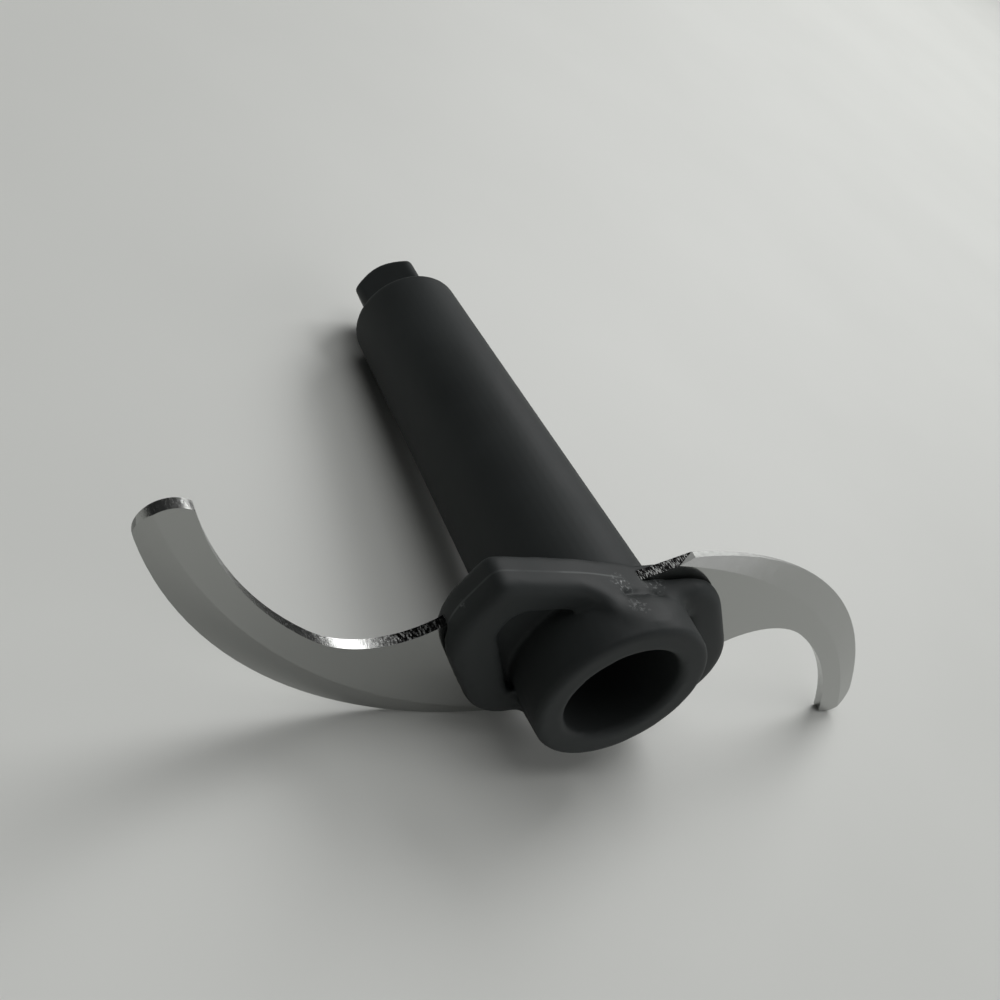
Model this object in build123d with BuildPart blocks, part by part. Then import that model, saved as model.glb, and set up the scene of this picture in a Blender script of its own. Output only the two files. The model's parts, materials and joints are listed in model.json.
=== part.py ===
from build123d import *
import math
import os

# Chopping blade for a hand blender's bowl: a ground steel S-blade moulded into a plastic hub.
# Millimetres and degrees. Heights run along the shaft from the mouth towards the drive end.
# Outlines are drawn as seen along the shaft, with X along the right-hand arm.

# Blade sheet and the outline of one arm
sheet_thickness = 1.2
blade_height = 7.8  # mouth to the face that is ground
blade_span = 107.6
cutting_edge_radius = 46.5
cutting_edge_centre_x = 20.5
cutting_edge_centre_y = 30.0
root_angle = -111.5  # where the cutting edge ends beside the hub, seen from its centre
root_foot_angle = -105.0  # where the root's straight edge meets the centre ring
tip_radius = 2.75
tip_trim = 0.45  # how far the back edge cuts into the round tip
back_edge_radius = 37.6
hook_radius = 11.8
hook_centre_x = 29.0
hook_centre_y = 2.8

# Ground bevel, widest at the middle of the arm
bevel_width = 3.3
edge_land = 0.1  # sheet left at the sharp edge
grind_radius = 56.4
grind_angle = -73.0
grind_overrun = 4.0

# Bore over the bowl's spindle, and the walls round it
bore_radius = 6.5
bore_chamfer = 0.5
seat_depth = 12.5
tube_wall = 2.2
mouth_wall = 3.2
boss_draft = 0.1  # radius that the boss loses from the mouth to the collar
mouth_round = 0.7
sleeve_wall = 0.6  # plastic between the bore and the blade's hole
ring_width = 1.0  # steel round the blade's hole
ring_cover = 0.7  # plastic outside that ring at the collar's waist

# Tube, closed at the drive end, and its square drive
tube_length = 62.9  # mouth to the shoulder
tube_end_radius = 6.9
end_wall = 4.9
shoulder_round = 0.7
drive_square = 8.1
drive_corner = 1.0
drive_length = 7.0
drive_lead = 1.7  # length of the turned cone that leads the square in
drive_angle = 30.4

# Collar that grips the blade: each lobe has five corners, given as radius and angle from the shaft
front_wall = 2.4  # plastic on the ground face of the blade
back_wall = 1.05
waist_angle = -98.5
waist_round = 2.5
shoulder_reach = 14.5
shoulder_angle = -58.7
lobe_shoulder_round = 6.5
lobe_reach = 20.2
lobe_angle = -11.1
lobe_round = 8.0
heel_reach = 19.9
heel_angle = 13.3
heel_round = 1.2
flank_reach = 11.4
flank_angle = 41.5
flank_round = 30.0
front_round = 1.3
back_chamfer = 0.35

# Pocket moulded into the front of each lobe, beside the boss, from its far end to its toe
pocket_round = 2.6
pocket_reach = 12.6
pocket_angle = 1.6
pocket_toe_reach = 7.9
pocket_toe_angle = -43.2
pocket_depth = 1.7

# Cheek that carries the front of each lobe up along the boss, with a ramp at its leading end
cheek_offset = 0.6  # how far its round lies from the boss's
cheek_angle = -122.0
cheek_front = 0.9  # mouth to the cheek's end
ramp_foot_angle = -152.0
ramp_top_angle = -122.8
cheek_round = 0.4


def on_circle(centre, radius, angle):
    """Point of a circle at an angle in degrees."""
    turn = math.radians(angle)
    return Vector(centre.X + radius * math.cos(turn), centre.Y + radius * math.sin(turn))


def bearing(start, end):
    """Angle in degrees of the line from one point to another."""
    return math.degrees(math.atan2(end.Y - start.Y, end.X - start.X))


def meeting_point(first, first_reach, second, second_reach, side):
    """Point at the two reaches from two centres, to the left (1) or right (-1) of the line between them."""
    gap = (second - first).length
    cosine = (first_reach**2 + gap**2 - second_reach**2) / (2 * first_reach * gap)
    turn = math.degrees(math.acos(cosine))
    return on_circle(first, first_reach, bearing(first, second) + side * turn)


def turned(plane, angle):
    """Plane turned about its own normal by an angle in degrees."""
    return Plane(plane.location * Rotation(0, 0, angle))


# Radii and heights that follow from the driving sizes
axis_point = Vector(0, 0)
far_face = blade_height + sheet_thickness
hole_radius = bore_radius + sleeve_wall
ring_radius = hole_radius + ring_width
waist_radius = ring_radius + ring_cover
tube_radius = bore_radius + tube_wall
mouth_radius = bore_radius + mouth_wall
boss_radius = mouth_radius - boss_draft
collar_front = blade_height - front_wall
collar_back = far_face + back_wall
bore_depth = tube_length - end_wall
bore_end_radius = tube_end_radius - tube_wall

# Arm outline: cutting edge, round tip, back edge and hook run into one another
edge_centre = Vector(cutting_edge_centre_x, cutting_edge_centre_y)
hook_centre = Vector(hook_centre_x, hook_centre_y)
tip_centre = meeting_point(
    axis_point, blade_span / 2 - tip_radius, edge_centre, cutting_edge_radius - tip_radius, -1
)
back_centre = meeting_point(
    tip_centre, back_edge_radius + tip_radius - tip_trim, hook_centre, back_edge_radius - hook_radius, -1
)
tip_corner = meeting_point(tip_centre, tip_radius, back_centre, back_edge_radius, -1)
root_corner = on_circle(edge_centre, cutting_edge_radius, root_angle)
tip_angle = bearing(edge_centre, tip_centre)
tip_corner_angle = bearing(tip_centre, tip_corner)
back_angle = bearing(back_centre, tip_corner)
hook_angle = bearing(back_centre, hook_centre)
hook_end = on_circle(hook_centre, hook_radius, -180)
hook_foot_angle = bearing(axis_point, hook_end) + math.degrees(math.acos(ring_radius / hook_end.length))

# Resting on the floor, on the right-hand tip, the left-hand cutting edge and the tube's shoulder.
# The line under the blade touches the circles of the tip and of the opposite cutting edge.
between = tip_centre + edge_centre
floor_bearing = bearing(axis_point, between) + math.degrees(
    math.acos((cutting_edge_radius - tip_radius) / between.length)
)
roll = math.radians(90 - floor_bearing)
blade_drop = cutting_edge_radius - edge_centre.dot(on_circle(axis_point, 1, floor_bearing))
tube_taper = math.atan2(tube_radius - tube_end_radius, tube_length - collar_front)
shoulder_centre = tube_end_radius + shoulder_round * (math.tan(tube_taper) - 1 / math.cos(tube_taper))
rim_drop = blade_drop - shoulder_centre
rim_run = tube_length - shoulder_round - far_face
lean = math.atan2(rim_drop, rim_run) - math.asin(shoulder_round / math.hypot(rim_drop, rim_run))
mouth_height = blade_drop * math.cos(lean) + far_face * math.sin(lean)

# Ends of the part along the floor, which put the origin under the middle of its box
mouth_flat = mouth_radius - mouth_round
mouth_end = mouth_round * math.cos(lean) - mouth_flat * math.sin(lean) - mouth_round
drive_reach = (drive_square / 2 - drive_corner) * math.sqrt(2) + drive_corner
drive_end_radius = drive_reach - drive_lead
drive_end = (tube_length + drive_length) * math.cos(lean) + drive_end_radius * math.sin(lean)

# Plane across the shaft at the mouth, with its normal towards the drive end
shaft = Plane(
    origin=(0, -(mouth_end + drive_end) / 2, mouth_height),
    x_dir=(math.cos(roll), -math.sin(roll) * math.sin(lean), -math.sin(roll) * math.cos(lean)),
    z_dir=(0, math.cos(lean), -math.sin(lean)),
)
arms = [shaft, turned(shaft, 180)]
shaft_axis = Axis(shaft.origin, shaft.z_dir)
section = Plane(shaft.origin, x_dir=shaft.x_dir, z_dir=-shaft.y_dir)  # radius across, height up

# The grinding wheel's centre lies behind the cutting edge's, so the bevel narrows to both ends
grind_centre = on_circle(
    edge_centre, cutting_edge_radius - bevel_width - grind_radius, grind_angle
)
grind_start = bearing(grind_centre, root_corner) - grind_overrun
grind_end = bearing(grind_centre, tip_centre) + grind_overrun
bevel_depth = sheet_thickness - edge_land

# Blade
with BuildPart() as blade:
    for arm in arms:
        with BuildSketch(arm.offset(blade_height)):
            with BuildLine():
                edge = CenterArc(edge_centre, cutting_edge_radius, root_angle, tip_angle - root_angle)
                CenterArc(tip_centre, tip_radius, tip_angle, tip_corner_angle - tip_angle)
                CenterArc(back_centre, back_edge_radius, back_angle, hook_angle - back_angle)
                hook = CenterArc(hook_centre, hook_radius, hook_angle, -180 - hook_angle)
                Polyline(
                    hook @ 1,
                    on_circle(axis_point, ring_radius, hook_foot_angle),
                    axis_point,
                    on_circle(axis_point, ring_radius, root_foot_angle),
                    edge @ 0,
                )
            make_face()
        extrude(amount=sheet_thickness)
    with BuildSketch(shaft.offset(blade_height)):
        Circle(ring_radius)
    extrude(amount=sheet_thickness)
    with BuildSketch(shaft.offset(blade_height)):
        Circle(hole_radius)
    extrude(amount=sheet_thickness, mode=Mode.SUBTRACT)
    for arm in arms:
        wheel_origin = arm.from_local_coords(grind_centre)
        wheel = turned(Plane(wheel_origin, x_dir=arm.x_dir, z_dir=arm.z_dir), grind_start)
        with BuildSketch(Plane(wheel_origin, x_dir=wheel.x_dir, z_dir=-wheel.y_dir)):
            with BuildLine():
                Polyline(
                    (grind_radius - bevel_width, blade_height - bevel_depth),
                    (grind_radius + 2 * bevel_width, blade_height + 2 * bevel_depth),
                    (grind_radius + 2 * bevel_width, blade_height - bevel_depth),
                    close=True,
                )
            make_face()
        revolve(
            axis=Axis(wheel_origin, shaft.z_dir),
            revolution_arc=grind_end - grind_start,
            mode=Mode.SUBTRACT,
        )
blade.part.label = "blade"

# Outline of the collar, one lobe and its half turn
lobe_corners = [
    (waist_radius, waist_angle),
    (shoulder_reach, shoulder_angle),
    (lobe_reach, lobe_angle),
    (heel_reach, heel_angle),
    (flank_reach, flank_angle),
]
lobe_rounds = [waist_round, lobe_shoulder_round, lobe_round, heel_round, flank_round]

# Cheek on the right-hand lobe; the left-hand one is its half turn
with BuildPart() as cheek:
    with BuildSketch(shaft.offset(cheek_front)):
        with Locations(on_circle(axis_point, cheek_offset, cheek_angle)):
            Circle(mouth_radius)
    extrude(amount=collar_front - cheek_front)
    with BuildSketch(section):
        with BuildLine():
            Polyline(
                (on_circle(axis_point, mouth_radius + cheek_offset, ramp_foot_angle).X, collar_front),
                (on_circle(axis_point, mouth_radius + cheek_offset, ramp_top_angle).X, cheek_front),
                (-2 * mouth_radius, cheek_front),
                (-2 * mouth_radius, collar_front),
                close=True,
            )
        make_face()
    extrude(amount=2 * mouth_radius, both=True, mode=Mode.SUBTRACT)
    cheek_face = cheek.faces().filter_by(GeomType.CYLINDER)[0]
    cheek_rim = cheek_face.edges().filter_by(GeomType.LINE, reverse=True).sort_by(shaft_axis)[:-1]
    fillet(cheek_rim, radius=cheek_round)

# Hub
with BuildPart() as hub:
    with BuildSketch(shaft.offset(collar_front)):
        with BuildLine():
            FilletPolyline(
                [on_circle(axis_point, reach, angle + turn) for turn in (0, 180) for reach, angle in lobe_corners],
                radius=lobe_rounds + lobe_rounds,
                close=True,
            )
        make_face()
    extrude(amount=collar_back - collar_front)
    fillet(hub.faces().sort_by(shaft_axis)[0].edges(), radius=front_round)
    chamfer(hub.faces().sort_by(shaft_axis)[-1].edges(), length=back_chamfer)
    add(cheek.part)
    add(cheek.part.rotate(shaft_axis, 180))
    for arm in arms:
        with BuildSketch(arm.offset(cheek_front)):
            with BuildLine():
                CenterArc(axis_point, hole_radius, 0, 360)
                CenterArc(on_circle(axis_point, pocket_reach, pocket_angle), pocket_round, 0, 360)
                CenterArc(on_circle(axis_point, pocket_toe_reach, pocket_toe_angle), pocket_round, 0, 360)
            make_hull()
            Circle(boss_radius, mode=Mode.SUBTRACT)
        extrude(amount=collar_front + pocket_depth - cheek_front, mode=Mode.SUBTRACT)
    with BuildSketch(section):
        with BuildLine():
            Polyline(
                (0, 0),
                (mouth_radius, 0),
                (boss_radius, collar_front),
                (tube_radius, collar_front),
                (tube_end_radius, tube_length),
                (0, tube_length),
                close=True,
            )
        make_face()
    revolve(axis=shaft_axis)
    fillet(hub.edges().group_by(shaft_axis)[0], radius=mouth_round)
    fillet(hub.edges().group_by(shaft_axis)[-1], radius=shoulder_round)
    with BuildSketch(turned(shaft, drive_angle).offset(tube_length - shoulder_round)):
        RectangleRounded(drive_square, drive_square, drive_corner)
    extrude(amount=drive_length + shoulder_round)
    with BuildSketch(section):
        with BuildLine():
            Polyline(
                (drive_end_radius, tube_length + drive_length),
                (drive_reach + drive_lead, tube_length + drive_length - 2 * drive_lead),
                (drive_reach + drive_lead, tube_length + drive_length),
                close=True,
            )
        make_face()
    revolve(axis=shaft_axis, mode=Mode.SUBTRACT)
    with BuildSketch(section):
        with BuildLine():
            Polyline(
                (0, 0),
                (bore_radius + bore_chamfer, 0),
                (bore_radius, bore_chamfer),
                (bore_radius, seat_depth),
                (bore_end_radius, bore_depth),
                (0, bore_depth),
                close=True,
            )
        make_face()
    revolve(axis=shaft_axis, mode=Mode.SUBTRACT)
    add(blade.part, mode=Mode.SUBTRACT)
hub.part.label = "hub"

os.makedirs("parts", exist_ok=True)
export_step(blade.part, "parts/blade.step")
export_step(hub.part, "parts/hub.step")
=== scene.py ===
"""Looks of a hand blender's chopping blade: a polished steel S-blade moulded into a dark acetal hub."""

import json
import logging
import math
from dataclasses import dataclass, field
from enum import Enum
from typing import Any, Callable

import bpy
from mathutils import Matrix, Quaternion, Vector

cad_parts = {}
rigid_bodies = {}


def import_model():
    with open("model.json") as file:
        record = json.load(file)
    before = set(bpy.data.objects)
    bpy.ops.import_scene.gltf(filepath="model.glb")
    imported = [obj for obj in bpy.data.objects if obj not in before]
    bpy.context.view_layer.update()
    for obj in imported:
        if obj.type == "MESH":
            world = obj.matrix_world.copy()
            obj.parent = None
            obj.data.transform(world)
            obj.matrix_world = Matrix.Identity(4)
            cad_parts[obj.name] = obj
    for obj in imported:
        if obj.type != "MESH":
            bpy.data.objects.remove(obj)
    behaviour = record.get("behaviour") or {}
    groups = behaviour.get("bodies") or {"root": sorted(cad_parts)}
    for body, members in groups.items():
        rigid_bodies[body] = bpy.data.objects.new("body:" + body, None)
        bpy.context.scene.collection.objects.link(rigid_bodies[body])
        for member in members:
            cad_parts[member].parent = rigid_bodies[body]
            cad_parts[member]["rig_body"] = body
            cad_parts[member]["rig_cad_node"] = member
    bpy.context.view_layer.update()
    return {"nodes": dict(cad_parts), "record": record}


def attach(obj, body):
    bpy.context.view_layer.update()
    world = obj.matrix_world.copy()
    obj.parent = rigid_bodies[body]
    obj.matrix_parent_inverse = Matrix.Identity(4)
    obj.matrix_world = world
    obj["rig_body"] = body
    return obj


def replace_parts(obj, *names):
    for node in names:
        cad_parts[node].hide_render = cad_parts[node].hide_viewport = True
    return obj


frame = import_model()
BODY = "root"
MM = 0.001

log = logging.getLogger("chopping_blade")


class Shaft:
    """Places about the shaft: millimetres from its axis and its mouth, degrees from the right arm."""

    roll: float = 12.7535
    bore_middle: float = 6.5

    def __init__(self) -> None:
        """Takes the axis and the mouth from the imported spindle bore."""
        bore = next(mount for mount in frame["record"]["mounts"] if mount["name"] == "spindle_bore")
        self.axis = -Vector(bore["axis"]).normalized()
        self.mouth = Vector(bore["pos_m"]) - self.axis * self.bore_middle * MM
        self.lean = math.atan2(-self.axis.z, self.axis.y)
        level = Vector((1.0, 0.0, 0.0))
        self.across = Quaternion(self.axis, math.radians(self.roll)) @ level
        self.down = self.axis.cross(self.across)

    def turned_mouth(self) -> Vector:
        """The mouth in millimetres, in axes turned so that Y runs along the shaft."""
        return Quaternion((1.0, 0.0, 0.0), self.lean) @ self.mouth / MM

    def flat_place(self, point: Vector) -> tuple[float, float]:
        """Place of a point across the shaft, along the right arm and square to it."""
        arm = point - self.mouth
        return arm.dot(self.across) / MM, arm.dot(self.down) / MM

    def round_place(self, point: Vector) -> tuple[float, float, float]:
        """Distance from the axis, angle about it and distance behind the mouth of a point."""
        across, down = self.flat_place(point)
        depth = (point - self.mouth).dot(self.axis) / MM
        return math.hypot(across, down), math.degrees(math.atan2(down, across)), depth


SHAFT = Shaft()
Colour = tuple[float, float, float, float]


@dataclass(frozen=True)
class Pattern:
    """Noise, as lumps for each unit of its coordinates, and the range of its values that is used."""

    scale: float
    detail: float = 3.0
    roughness: float = 0.5
    low: float = 0.3
    high: float = 0.7


class Graph:
    """A material's node tree while it is being built."""

    def __init__(self, name: str) -> None:
        """Starts an empty tree.

        Args:
            name: The material's name.
        """
        self.material = bpy.data.materials.new(name)
        self.material.use_nodes = True
        self.tree = self.material.node_tree
        self.tree.nodes.clear()

    def add(self, kind: str, inputs: dict[str | int, Any] | None = None, **settings: Any) -> bpy.types.Node:
        """Adds a node, sets its options and fills its inputs.

        Args:
            kind: Node type without the ShaderNode prefix.
            inputs: Socket name or number to a constant or to another node's socket.
            **settings: Options of the node itself.

        Returns:
            The new node.
        """
        node = self.tree.nodes.new(f"ShaderNode{kind}")
        for name, value in settings.items():
            setattr(node, name, value)
        for socket, value in (inputs or {}).items():
            if isinstance(value, bpy.types.NodeSocket):
                self.tree.links.new(value, node.inputs[socket])
            else:
                node.inputs[socket].default_value = value
        return node

    def coordinates(
        self, scale: tuple[float, float, float] = (1.0, 1.0, 1.0), along_shaft: bool = False
    ) -> Any:
        """Object coordinates in millimetres.

        Args:
            scale: Stretch of the pattern's coordinates along each axis.
            along_shaft: True to turn them so that their Y runs along the shaft.

        Returns:
            A vector socket.
        """
        place = self.add("TexCoord").outputs["Object"]
        if along_shaft:
            turned = self.add("Mapping", {"Vector": place, "Rotation": (SHAFT.lean, 0.0, 0.0)})
            place = turned.outputs["Vector"]
        size = tuple(stretch / MM for stretch in scale)
        return self.add("Mapping", {"Vector": place, "Scale": size}).outputs["Vector"]

    def about_shaft(self) -> tuple[Any, Any]:
        """Distance from the shaft's axis and depth behind its mouth, in millimetres.

        Returns:
            Two value sockets.
        """
        place = self.coordinates(along_shaft=True)
        to_mouth = tuple(-part for part in SHAFT.turned_mouth())
        shifted = self.add("Mapping", {"Vector": place, "Location": to_mouth}).outputs["Vector"]
        without_depth = {0: shifted, 1: (1.0, 0.0, 1.0)}
        flat = self.add("VectorMath", without_depth, operation="MULTIPLY").outputs["Vector"]
        radius = self.add("VectorMath", {0: flat}, operation="LENGTH").outputs["Value"]
        return radius, self.add("SeparateXYZ", {"Vector": shifted}).outputs["Y"]

    def noise(self, place: Any, pattern: Pattern) -> Any:
        """Noise between 0 and 1.

        Args:
            place: Vector socket.
            pattern: The noise's size and detail.

        Returns:
            A value socket.
        """
        inputs = {
            "Vector": place,
            "Scale": pattern.scale,
            "Detail": pattern.detail,
            "Roughness": pattern.roughness,
        }
        return self.add("TexNoise", inputs).outputs["Fac"]

    def ramp(self, value: Any, low: float, high: float, start: float = 0.0, end: float = 1.0) -> Any:
        """Maps a value from one range to another, without going past its ends.

        Args:
            value: Value socket.
            low: Value that gives the start.
            high: Value that gives the end.
            start: Result at the low value.
            end: Result at the high value.

        Returns:
            A value socket.
        """
        inputs = {"Value": value, "From Min": low, "From Max": high, "To Min": start, "To Max": end}
        return self.add("MapRange", inputs).outputs["Result"]

    def math(self, operation: str, first: Any, second: Any = 0.0) -> Any:
        """Result of a Math node on two values or sockets."""
        return self.add("Math", {0: first, 1: second}, operation=operation).outputs["Value"]

    def blend(self, share: Any, first: Any, second: Any) -> Any:
        """Colour between two colours.

        Args:
            share: Value socket, 0 for the first colour and 1 for the second.
            first: Colour or colour socket.
            second: Colour or colour socket.

        Returns:
            A colour socket.
        """
        node = self.add("Mix", data_type="RGBA")
        for socket, value in (("Factor_Float", share), ("A_Color", first), ("B_Color", second)):
            target = next(item for item in node.inputs if item.identifier == socket)
            if isinstance(value, bpy.types.NodeSocket):
                self.tree.links.new(value, target)
            else:
                target.default_value = value
        return next(item for item in node.outputs if item.identifier == "Result_Color")

    def bump(self, height: Any, depth: float) -> Any:
        """Normal bent by a height.

        Args:
            height: Value socket.
            depth: Relief in metres between the heights 0 and 1.

        Returns:
            A vector socket.
        """
        inputs = {"Height": height, "Distance": depth, "Strength": 1.0}
        return self.add("Bump", inputs).outputs["Normal"]

    def surface(self, inputs: dict[str, Any]) -> bpy.types.Material:
        """Ends the tree in a Principled shader.

        Args:
            inputs: The shader's sockets.

        Returns:
            The finished material.
        """
        shader = self.add("BsdfPrincipled", inputs)
        self.add("OutputMaterial", {"Surface": shader.outputs["BSDF"]})
        return self.material


@dataclass(frozen=True)
class ScuffGlint:
    """A place where the skin is rubbed and carries a painted highlight, and its radius, in millimetres."""

    place: tuple[float, float, float]
    size: float


@dataclass(frozen=True)
class Acetal:
    """Dark grey moulded acetal with a dull skin, a painted highlight along the thin line where the mould's
    halves met, and rubbed spots that also carry a painted highlight.
    """

    name: str = "hub_acetal"
    dark: Colour = (0.026, 0.029, 0.029, 1.0)
    pale: Colour = (0.033, 0.037, 0.037, 1.0)
    # Painted highlight: pale colour of the parting line's ridge, where it catches the light.
    parting_highlight: Colour = (0.090, 0.098, 0.096, 1.0)
    gloss: float = 0.16
    roughness: tuple[float, float] = (0.50, 0.62)
    cloud: Pattern = Pattern(0.09, roughness=0.55)
    grain: Pattern = Pattern(5.0, roughness=0.6)
    grain_depth: float = 0.004 * MM
    parting_depth: float = 7.75
    parting_width: float = 0.16
    parting_core: float = 0.4
    parting_radius: float = 9.0
    parting_fade: float = 0.5
    parting_breaks: Pattern = Pattern(0.16, detail=2.0, low=0.35, high=0.6)
    scuff_glints: tuple[ScuffGlint, ...] = (
        ScuffGlint((-2.5, -26.6, 22.3), 1.8),
        ScuffGlint((2.0, -26.2, 22.1), 1.6),
        ScuffGlint((-2.6, -29.5, 23.3), 1.7),
        ScuffGlint((-19.6, -26.4, 17.1), 0.8),
    )
    scuff_glint_core: float = 0.3
    scuff_glint_specks: Pattern = Pattern(2.2, roughness=0.65, low=0.52, high=0.66)
    scuff_shine: float = 0.2
    # Painted highlight: pale colour of the rubbed spots; their lower roughness is real wear.
    scuff_glint_colour: Colour = (0.20, 0.21, 0.21, 1.0)

    def rubbed_and_glint(self, graph: Graph, place: Any) -> Any:
        """Share of the skin that is rubbed shiny and painted pale as a highlight, in specks about a few
        places.

        Args:
            graph: The finish's tree.
            place: Vector socket in millimetres.

        Returns:
            A value socket, 0 where the skin is whole.
        """
        near: Any = 0.0
        for scuff in self.scuff_glints:
            ends = {0: place, 1: scuff.place}
            away = graph.add("VectorMath", ends, operation="DISTANCE").outputs["Value"]
            within = graph.ramp(away, self.scuff_glint_core * scuff.size, scuff.size, 1.0, 0.0)
            near = graph.math("MAXIMUM", near, within)
        noise = graph.noise(place, self.scuff_glint_specks)
        specks = graph.ramp(noise, self.scuff_glint_specks.low, self.scuff_glint_specks.high)
        return graph.math("MULTIPLY", near, specks)

    def parting(self, graph: Graph, place: Any) -> Any:
        """Share of the skin that shows the painted highlight along the mould's parting line, broken here
        and there by noise.

        Args:
            graph: The finish's tree.
            place: Vector socket in millimetres.

        Returns:
            A value socket, 1 on the line.
        """
        radius, depth = graph.about_shaft()
        off_line = graph.math("ABSOLUTE", graph.math("SUBTRACT", depth, self.parting_depth))
        core = self.parting_core * self.parting_width
        line = graph.ramp(off_line, core, self.parting_width, 1.0, 0.0)
        outside = graph.ramp(radius, self.parting_radius, self.parting_radius + self.parting_fade)
        noise = graph.noise(place, self.parting_breaks)
        unbroken = graph.ramp(noise, self.parting_breaks.low, self.parting_breaks.high)
        return graph.math("MULTIPLY", graph.math("MULTIPLY", line, outside), unbroken)

    def material(self) -> bpy.types.Material:
        """Builds the finish as a node material."""
        graph = Graph(self.name)
        place = graph.coordinates()
        cloud = graph.noise(place, self.cloud)
        skin = graph.noise(place, self.grain)
        shade = graph.ramp(cloud, self.cloud.low, self.cloud.high)
        plain = graph.blend(shade, self.dark, self.pale)
        # Painted highlight along the mould's parting line.
        with_parting_highlight = graph.blend(self.parting(graph, place), plain, self.parting_highlight)
        # Rubbed spots: lower roughness, and a painted highlight in the colour.
        rubbed_and_glint = self.rubbed_and_glint(graph, place)
        low, high = self.roughness
        dull = graph.ramp(cloud, self.cloud.low, self.cloud.high, low, high)
        shine = graph.math("MULTIPLY", rubbed_and_glint, low - self.scuff_shine)
        return graph.surface(
            {
                "Base Color": graph.blend(rubbed_and_glint, with_parting_highlight, self.scuff_glint_colour),
                "Roughness": graph.math("SUBTRACT", dull, shine),
                "Specular IOR Level": self.gloss,
                "Normal": graph.bump(skin, self.grain_depth),
            }
        )


class SteelFace(Enum):
    """Faces of the stamping, by how each was made."""

    ROLLED = "blade_polished_face"
    GROUND = "blade_ground_bevel"
    SHEARED = "blade_sheared_edge"
    HONED = "blade_cutting_land"


@dataclass(frozen=True)
class Steel:
    """Stainless sheet with the marks of how a face was made."""

    face: SteelFace
    colour: Colour = (0.38, 0.385, 0.375, 1.0)
    roughness: tuple[float, float] = (0.08, 0.14)
    stretch: tuple[float, float, float] = (1.0, 1.0, 1.0)
    mark: float = 0.5
    mark_detail: float = 4.0
    mark_roughness: float = 0.6
    mark_depth: float = 0.002 * MM
    # Painted dark reflection: near-black colour laid into the sheared edge's torn marks near the shaft.
    torn_dark_reflection: Colour = (0.012, 0.012, 0.012, 1.0)
    torn_reflection_marks: tuple[float, float] = (0.5, 0.58)
    torn_reflection_within: float = 0.0
    torn_reflection_fade: float = 2.0

    def tint(self, graph: Graph, marks: Any) -> Any:
        """Colour of the face, with a painted dark reflection laid into the torn marks near the shaft.

        Args:
            graph: The finish's tree.
            marks: Value socket of the face's marks.

        Returns:
            A colour, or a colour socket where the face is torn.
        """
        if self.torn_reflection_within <= 0.0:
            return self.colour
        radius, _ = graph.about_shaft()
        near = graph.ramp(radius, self.torn_reflection_within, self.torn_reflection_within + self.torn_reflection_fade, 1.0, 0.0)
        low, high = self.torn_reflection_marks
        dark_reflection_share = graph.ramp(marks, low, high, 1.0, 0.0)
        return graph.blend(graph.math("MULTIPLY", near, dark_reflection_share), self.colour, self.torn_dark_reflection)

    def material(self) -> bpy.types.Material:
        """Builds the finish as a node material."""
        graph = Graph(self.face.value)
        pattern = Pattern(self.mark, self.mark_detail, self.mark_roughness)
        marks = graph.noise(graph.coordinates(self.stretch, along_shaft=True), pattern)
        low, high = self.roughness
        return graph.surface(
            {
                "Base Color": self.tint(graph, marks),
                "Metallic": 1.0,
                "Roughness": graph.ramp(marks, pattern.low, pattern.high, low, high),
                "Normal": graph.bump(marks, self.mark_depth),
            }
        )


ROLLED = Steel(SteelFace.ROLLED, mark=0.06, mark_depth=0.004 * MM)
GROUND = Steel(SteelFace.GROUND, colour=(0.37, 0.375, 0.365, 1.0), roughness=(0.12, 0.18), mark=0.8)
SHEARED = Steel(
    SteelFace.SHEARED,
    roughness=(0.16, 0.3),
    stretch=(6.0, 1.8, 6.0),
    mark=1.0,
    mark_depth=0.02 * MM,
    # Painted dark reflection on the sheared edges within this many millimetres of the shaft.
    torn_reflection_within=23.0,
    torn_reflection_fade=3.0,
)
HONED = Steel(SteelFace.HONED, colour=(0.30, 0.305, 0.295, 1.0), roughness=(0.5, 0.6), mark=1.5)


@dataclass(frozen=True)
class Board:
    """Pale matt board under the part."""

    name: str = "floor_board"
    pale: Colour = (0.72, 0.73, 0.70, 1.0)
    dark: Colour = (0.70, 0.71, 0.68, 1.0)
    cloud: Pattern = Pattern(0.02, low=0.35, high=0.65)
    roughness: float = 0.55

    def material(self) -> bpy.types.Material:
        """Builds the finish as a node material."""
        graph = Graph(self.name)
        cloud = graph.noise(graph.coordinates(), self.cloud)
        shade = graph.ramp(cloud, self.cloud.low, self.cloud.high)
        colour = graph.blend(shade, self.dark, self.pale)
        return graph.surface({"Base Color": colour, "Roughness": self.roughness})


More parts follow.
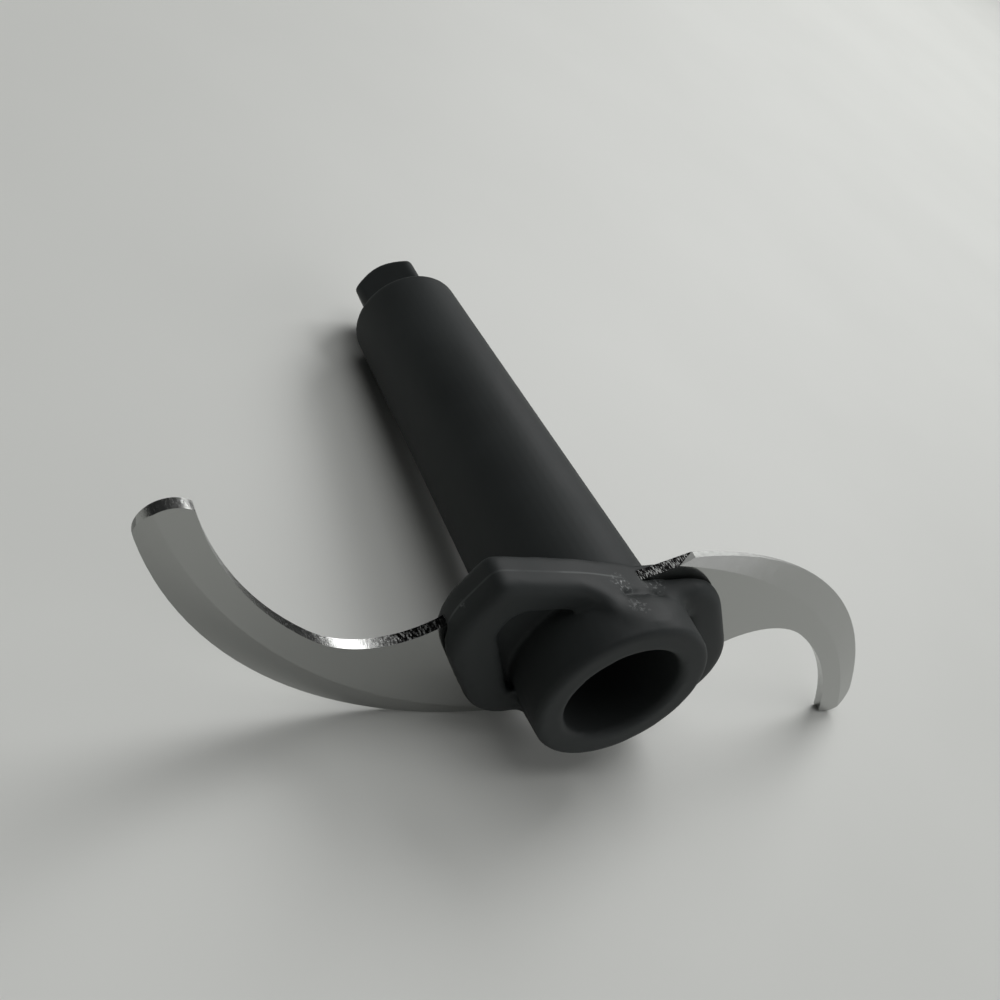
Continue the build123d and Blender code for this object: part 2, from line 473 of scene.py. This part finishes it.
class Modeller:
    """Modelling steps shared by the pieces."""

    merge_distance: float = 0.001 * MM
    smooth_factor: float = 0.5
    flat_weight: int = 80

    @staticmethod
    def deselect() -> None:
        """Goes to object mode with nothing selected."""
        if bpy.context.object is not None and bpy.context.object.mode != "OBJECT":
            bpy.ops.object.mode_set(mode="OBJECT")
        bpy.ops.object.select_all(action="DESELECT")

    @staticmethod
    def copy_of(node: str, name: str) -> bpy.types.Object:
        """Copies a CAD node as a new piece whose loose triangles are merged.

        Args:
            node: The CAD node.
            name: The piece's name.

        Returns:
            The piece, at the origin and on no body yet.
        """
        Modeller.deselect()
        source = frame["nodes"][node]
        source.select_set(True)
        bpy.context.view_layer.objects.active = source
        bpy.ops.object.duplicate()
        piece = bpy.context.object
        piece.name = piece.data.name = name
        piece.parent = None
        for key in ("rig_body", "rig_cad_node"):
            del piece[key]
        piece.data.materials.clear()
        bpy.ops.mesh.customdata_custom_splitnormals_clear()
        bpy.ops.object.mode_set(mode="EDIT")
        bpy.ops.mesh.select_all(action="SELECT")
        bpy.ops.mesh.mark_sharp(clear=True)
        bpy.ops.mesh.remove_doubles(threshold=Modeller.merge_distance)
        bpy.ops.mesh.normals_make_consistent(inside=False)
        bpy.ops.object.mode_set(mode="OBJECT")
        return piece

    @staticmethod
    def remesh(piece: bpy.types.Object, voxel: float) -> None:
        """Gives a piece an even mesh, shaded smooth.

        Args:
            piece: The piece.
            voxel: Size of the mesh's faces in metres.
        """
        Modeller.deselect()
        piece.select_set(True)
        bpy.context.view_layer.objects.active = piece
        piece.data.remesh_voxel_size = voxel
        bpy.ops.object.voxel_remesh()
        bpy.ops.object.shade_smooth()

    @staticmethod
    def relax(piece: bpy.types.Object, chosen: Callable[[Vector], bool], passes: int) -> None:
        """Smooths the part of a mesh that is chosen by its place.

        Args:
            piece: The piece.
            chosen: Says whether a point is smoothed.
            passes: Number of smoothing passes.
        """
        Modeller.deselect()
        bpy.context.view_layer.objects.active = piece
        bpy.ops.object.mode_set(mode="EDIT")
        bpy.ops.mesh.select_mode(type="VERT")
        bpy.ops.mesh.select_all(action="DESELECT")
        bpy.ops.object.mode_set(mode="OBJECT")
        for vertex in piece.data.vertices:
            vertex.select = chosen(vertex.co)
        bpy.ops.object.mode_set(mode="EDIT")
        bpy.ops.mesh.vertices_smooth(factor=Modeller.smooth_factor, repeat=passes)
        bpy.ops.object.mode_set(mode="OBJECT")

    @staticmethod
    def smooth(piece: bpy.types.Object, angle: float) -> None:
        """Shades a piece smooth up to an angle, with flat faces kept flat.

        Args:
            piece: The piece.
            angle: Largest turn in degrees between two faces that share their shading.
        """
        Modeller.deselect()
        piece.select_set(True)
        bpy.context.view_layer.objects.active = piece
        bpy.ops.object.shade_smooth_by_angle(angle=math.radians(angle))
        weigh = piece.modifiers.new("flat_faces", "WEIGHTED_NORMAL")
        weigh.keep_sharp = True
        weigh.weight = Modeller.flat_weight
        bpy.ops.object.modifier_apply(modifier=weigh.name)


@dataclass
class Hub:
    """The acetal moulding: boss, collar, tube and drive end."""

    node: str = "hub"
    name: str = "hub_moulding"
    slot: str = "hub_plastic"
    voxel: float = 0.33 * MM
    boss_radius: float = 9.75
    collar_front: float = 5.4
    sheet_front: float = 7.8
    rise_start: float = -152.0
    rise_end: float = -114.0
    fall_start: float = -106.0
    fall_end: float = -72.0
    rise_at_boss: float = 4.1
    rise_at_rim: float = 2.4
    rim_radius: float = 12.2
    rise_radius: float = 15.5
    boss_margin: float = 0.4
    mouth_margin: float = 0.4
    cheek_margin: float = 0.25
    cheek_gap: float = 0.1
    soft_from: float = 0.6
    rise_low: float = -132.0
    rise_high: float = -68.0
    rise_overlap: float = 0.5
    rise_top: float = 1.3
    rise_foot: float = 0.35
    rise_passes: int = 45
    skin_passes: int = 2
    collar_passes: int = 8
    finish: Acetal = field(default_factory=Acetal)

    @staticmethod
    def lobe_turn(angle: float) -> float:
        """Angle about the shaft in degrees, with the second lobe's turned back onto the first's."""
        return angle if angle < 0.0 else angle - 180.0

    def rise(self, radius: float, angle: float) -> float:
        """Height in millimetres that the collar's front climbs towards the mouth.

        Args:
            radius: Distance from the shaft's axis.
            angle: Angle about the shaft, the same on both lobes.

        Returns:
            The climb, 0 where the front is flat.
        """
        turn = self.lobe_turn(angle)
        if self.rise_start < turn < self.rise_end:
            share = (turn - self.rise_start) / (self.rise_end - self.rise_start)
        elif self.rise_end <= turn <= self.fall_start:
            share = 1.0
        elif self.fall_start < turn < self.fall_end:
            share = 1.0 - (turn - self.fall_start) / (self.fall_end - self.fall_start)
        else:
            return 0.0
        if radius < self.rim_radius:
            out = max(0.0, (radius - self.boss_radius) / (self.rim_radius - self.boss_radius))
            climb = self.rise_at_boss + (self.rise_at_rim - self.rise_at_boss) * out
        else:
            left = max(0.0, (self.rise_radius - radius) / (self.rise_radius - self.rim_radius))
            climb = self.rise_at_rim * left
        return climb * share * share * (3.0 - 2.0 * share)

    def shift(self, radius: float, angle: float, depth: float) -> float:
        """Depth behind the mouth that a point of the collar's front takes.

        Args:
            radius: Distance from the shaft's axis.
            angle: Angle about the shaft.
            depth: Depth behind the mouth before the move.

        Returns:
            The new depth in millimetres.
        """
        front = self.collar_front - self.rise(radius, angle)
        if radius < self.boss_radius:
            return min(depth, front) if depth <= self.collar_front else depth
        if depth <= self.collar_front:
            return front
        share = (self.sheet_front - depth) / (self.sheet_front - self.collar_front)
        return self.sheet_front - share * (self.sheet_front - front)

    def raise_collar(self, piece: bpy.types.Object) -> None:
        """Draws the collar's front up to the boss, as the mould's soft hollows have it."""
        for vertex in piece.data.vertices:
            radius, angle, depth = SHAFT.round_place(vertex.co)
            beside = radius >= self.boss_radius - self.boss_margin
            if not beside or not self.mouth_margin < depth < self.sheet_front:
                continue
            on_cheek = depth <= self.collar_front - self.cheek_margin
            kept = min(radius, self.boss_radius + self.cheek_gap) if on_cheek else radius
            outward = (vertex.co - SHAFT.mouth - SHAFT.axis * depth * MM).normalized()
            move = self.shift(kept, angle, depth) - depth
            vertex.co += (SHAFT.axis * move + outward * (kept - radius)) * MM

    def on_collar(self, point: Vector) -> bool:
        """True for the collar outside the boss, which has the softest edges."""
        radius, _, depth = SHAFT.round_place(point)
        return radius > self.boss_radius + self.cheek_gap and depth > self.soft_from

    def on_rise(self, point: Vector) -> bool:
        """True for the part of the collar's front that climbs to the boss, which has no edge at all."""
        radius, angle, depth = SHAFT.round_place(point)
        beside = self.boss_radius - self.rise_overlap < radius < self.rise_radius
        around = self.rise_low < self.lobe_turn(angle) < self.rise_high
        return beside and around and self.rise_top < depth < self.sheet_front - self.rise_foot

    def build(self) -> bpy.types.Object:
        """Makes the moulding's mesh, with soft hollows and edges in place of cut ones.

        Returns:
            The piece.
        """
        piece = Modeller.copy_of(self.node, self.name)
        Modeller.remesh(piece, self.voxel)
        self.raise_collar(piece)
        Modeller.remesh(piece, self.voxel)
        Modeller.relax(piece, lambda point: True, self.skin_passes)
        Modeller.relax(piece, self.on_rise, self.rise_passes)
        Modeller.relax(piece, self.on_collar, self.collar_passes)
        return piece

    def dress(self, piece: bpy.types.Object) -> None:
        """Gives the moulding its finish and its place in the part."""
        piece.data.materials.append(self.finish.material())
        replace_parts(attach(piece, BODY), self.node)


@dataclass
class Blade:
    """The steel S-blade, sheared from sheet and ground along its cutting edges."""

    node: str = "blade"
    name: str = "blade_stamping"
    slot: str = "blade_steel"
    crease: float = 12.0
    face_limit: float = 0.995
    edge_limit: float = 0.3
    cutting_radius: float = 46.5
    cutting_centre: tuple[float, float] = (20.5, 30.0)
    cutting_margin: float = 0.6
    finishes: tuple[Steel, ...] = (ROLLED, GROUND, SHEARED, HONED)

    def build(self) -> bpy.types.Object:
        """Makes the stamping's mesh.

        Returns:
            The piece.
        """
        piece = Modeller.copy_of(self.node, self.name)
        Modeller.smooth(piece, self.crease)
        return piece

    def on_cutting_edge(self, centre: Vector) -> bool:
        """True for a place on the rounded outer edge of either arm."""
        across, down = SHAFT.flat_place(centre)
        side = 1.0 if across > 0.0 else -1.0
        reach = math.hypot(side * across - self.cutting_centre[0], side * down - self.cutting_centre[1])
        return abs(reach - self.cutting_radius) < self.cutting_margin

    def finish_of(self, face: bpy.types.MeshPolygon) -> int:
        """Number of the finish that a face takes, by its lean from the sheet's plane and its place."""
        facing = abs(face.normal.dot(SHAFT.axis))
        if facing > self.face_limit:
            return self.finishes.index(ROLLED)
        if facing > self.edge_limit:
            return self.finishes.index(GROUND)
        return self.finishes.index(HONED if self.on_cutting_edge(face.center) else SHEARED)

    def dress(self, piece: bpy.types.Object) -> None:
        """Gives each face its finish, and the stamping its place in the part."""
        for finish in self.finishes:
            piece.data.materials.append(finish.material())
        for face in piece.data.polygons:
            face.material_index = self.finish_of(face)
        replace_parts(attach(piece, BODY), self.node)


@dataclass(frozen=True)
class Softbox:
    """A rectangular area lamp that points at the part, with its angles in degrees and sizes in metres."""

    name: str
    azimuth: float
    elevation: float
    distance: float
    width: float
    height: float
    power: float

    def build(self) -> None:
        """Adds the lamp."""
        turn, rise = math.radians(self.azimuth), math.radians(self.elevation)
        towards = Vector((math.cos(turn) * math.cos(rise), math.sin(turn) * math.cos(rise), math.sin(rise)))
        bpy.ops.object.light_add(type="AREA", location=towards * self.distance)
        lamp = bpy.context.object
        lamp.name = lamp.data.name = self.name
        lamp.rotation_mode = "QUATERNION"
        lamp.rotation_quaternion = towards.to_track_quat("Z", "Y")
        lamp.data.shape = "RECTANGLE"
        lamp.data.size, lamp.data.size_y = self.width, self.height
        lamp.data.energy = self.power


@dataclass
class Studio:
    """Floor, lamps, surroundings and camera."""

    floor_size: float = 8.0
    room_tone: Colour = (0.035, 0.036, 0.036, 1.0)
    camera_place: tuple[float, float, float] = (-0.09135, -0.08699, 0.09390)
    camera_target: tuple[float, float, float] = (-0.00110, -0.00574, 0.01000)
    camera_roll: float = 38.823
    lens: float = 46.8
    sensor: float = 36.0
    clip: tuple[float, float] = (0.005, 50.0)
    board: Board = field(default_factory=Board)
    lamps: tuple[Softbox, ...] = (
        Softbox("window", azimuth=40, elevation=40, distance=0.9, width=0.46, height=0.46, power=3.8),
        Softbox("ceiling", azimuth=110, elevation=80, distance=0.9, width=0.8, height=0.8, power=2.9),
        Softbox("pale_wall", azimuth=-50, elevation=20, distance=0.9, width=2.2, height=0.8, power=4.4),
    )

    def lay_floor(self) -> None:
        """Adds the floor at the part's resting height."""
        Modeller.deselect()
        bpy.ops.mesh.primitive_plane_add(size=self.floor_size)
        floor = bpy.context.object
        floor.name = "floor"
        floor.data.materials.append(self.board.material())

    def light(self) -> None:
        """Adds the lamps and the plain surroundings."""
        for lamp in self.lamps:
            lamp.build()
        world = bpy.data.worlds.new("room")
        world.use_nodes = True
        world.node_tree.nodes["Background"].inputs["Color"].default_value = self.room_tone
        bpy.context.scene.world = world

    def aim(self) -> None:
        """Adds the camera."""
        place, target = Vector(self.camera_place), Vector(self.camera_target)
        bpy.ops.object.camera_add(location=place)
        camera = bpy.context.object
        level = (target - place).to_track_quat("-Z", "Y")
        camera.rotation_mode = "QUATERNION"
        camera.rotation_quaternion = level @ Quaternion((0, 0, 1), math.radians(self.camera_roll))
        camera.data.lens = self.lens
        camera.data.sensor_width = self.sensor
        camera.data.clip_start, camera.data.clip_end = self.clip
        bpy.context.scene.camera = camera


def main() -> None:
    """Builds the pieces, sets the stage and reports each piece."""
    logging.basicConfig(level=logging.INFO, format="%(name)s: %(message)s")
    for assembly in (Hub(), Blade()):
        piece = assembly.build()
        assembly.dress(piece)
        log.info("%s: %d faces, stands for %s", piece.name, len(piece.data.polygons), assembly.node)
    studio = Studio()
    studio.lay_floor()
    studio.light()
    studio.aim()
    bpy.context.scene.view_settings.view_transform = "Standard"


if __name__ == "__main__":
    main()
